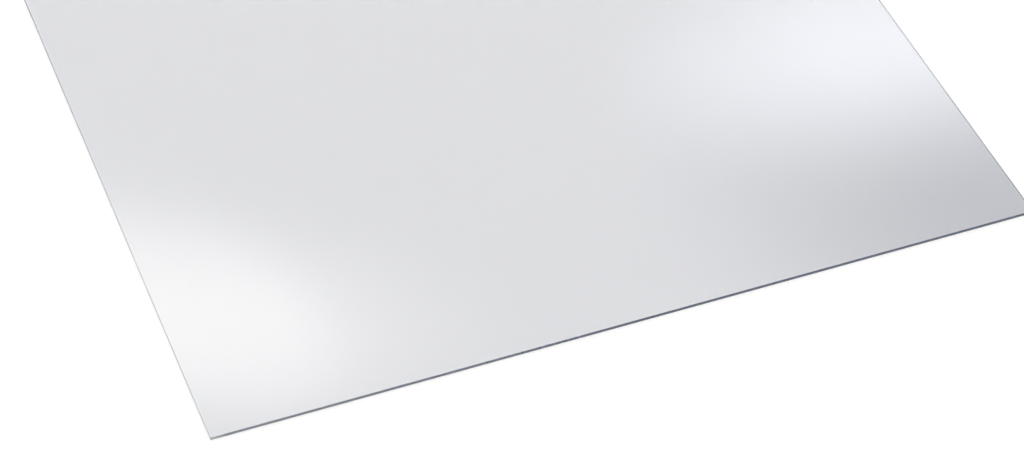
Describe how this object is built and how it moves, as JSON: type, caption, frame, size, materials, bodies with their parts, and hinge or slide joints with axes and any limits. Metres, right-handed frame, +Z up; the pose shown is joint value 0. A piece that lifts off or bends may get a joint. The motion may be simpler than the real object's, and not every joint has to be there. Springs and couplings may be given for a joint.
{
  "type": "clear polystyrene sheet",
  "caption": "Flat clear polystyrene sheet: a thin, glossy, see-through plastic pane with square-cut edges, for glazing, partitions and craft work.",
  "frame": {"origin": "centre of the underside, on the surface that the sheet lies on", "axes": "+X across the 500 mm width, +Y along the 1000 mm length, +Z up through the 2 mm thickness"},
  "size_m": [0.5, 1, 0.002],
  "materials": {
    "clear_polystyrene": "polished"
  },
  "bodies": {
    "root": {"polystyrene_sheet": "clear_polystyrene"}
  },
  "joints": []
}
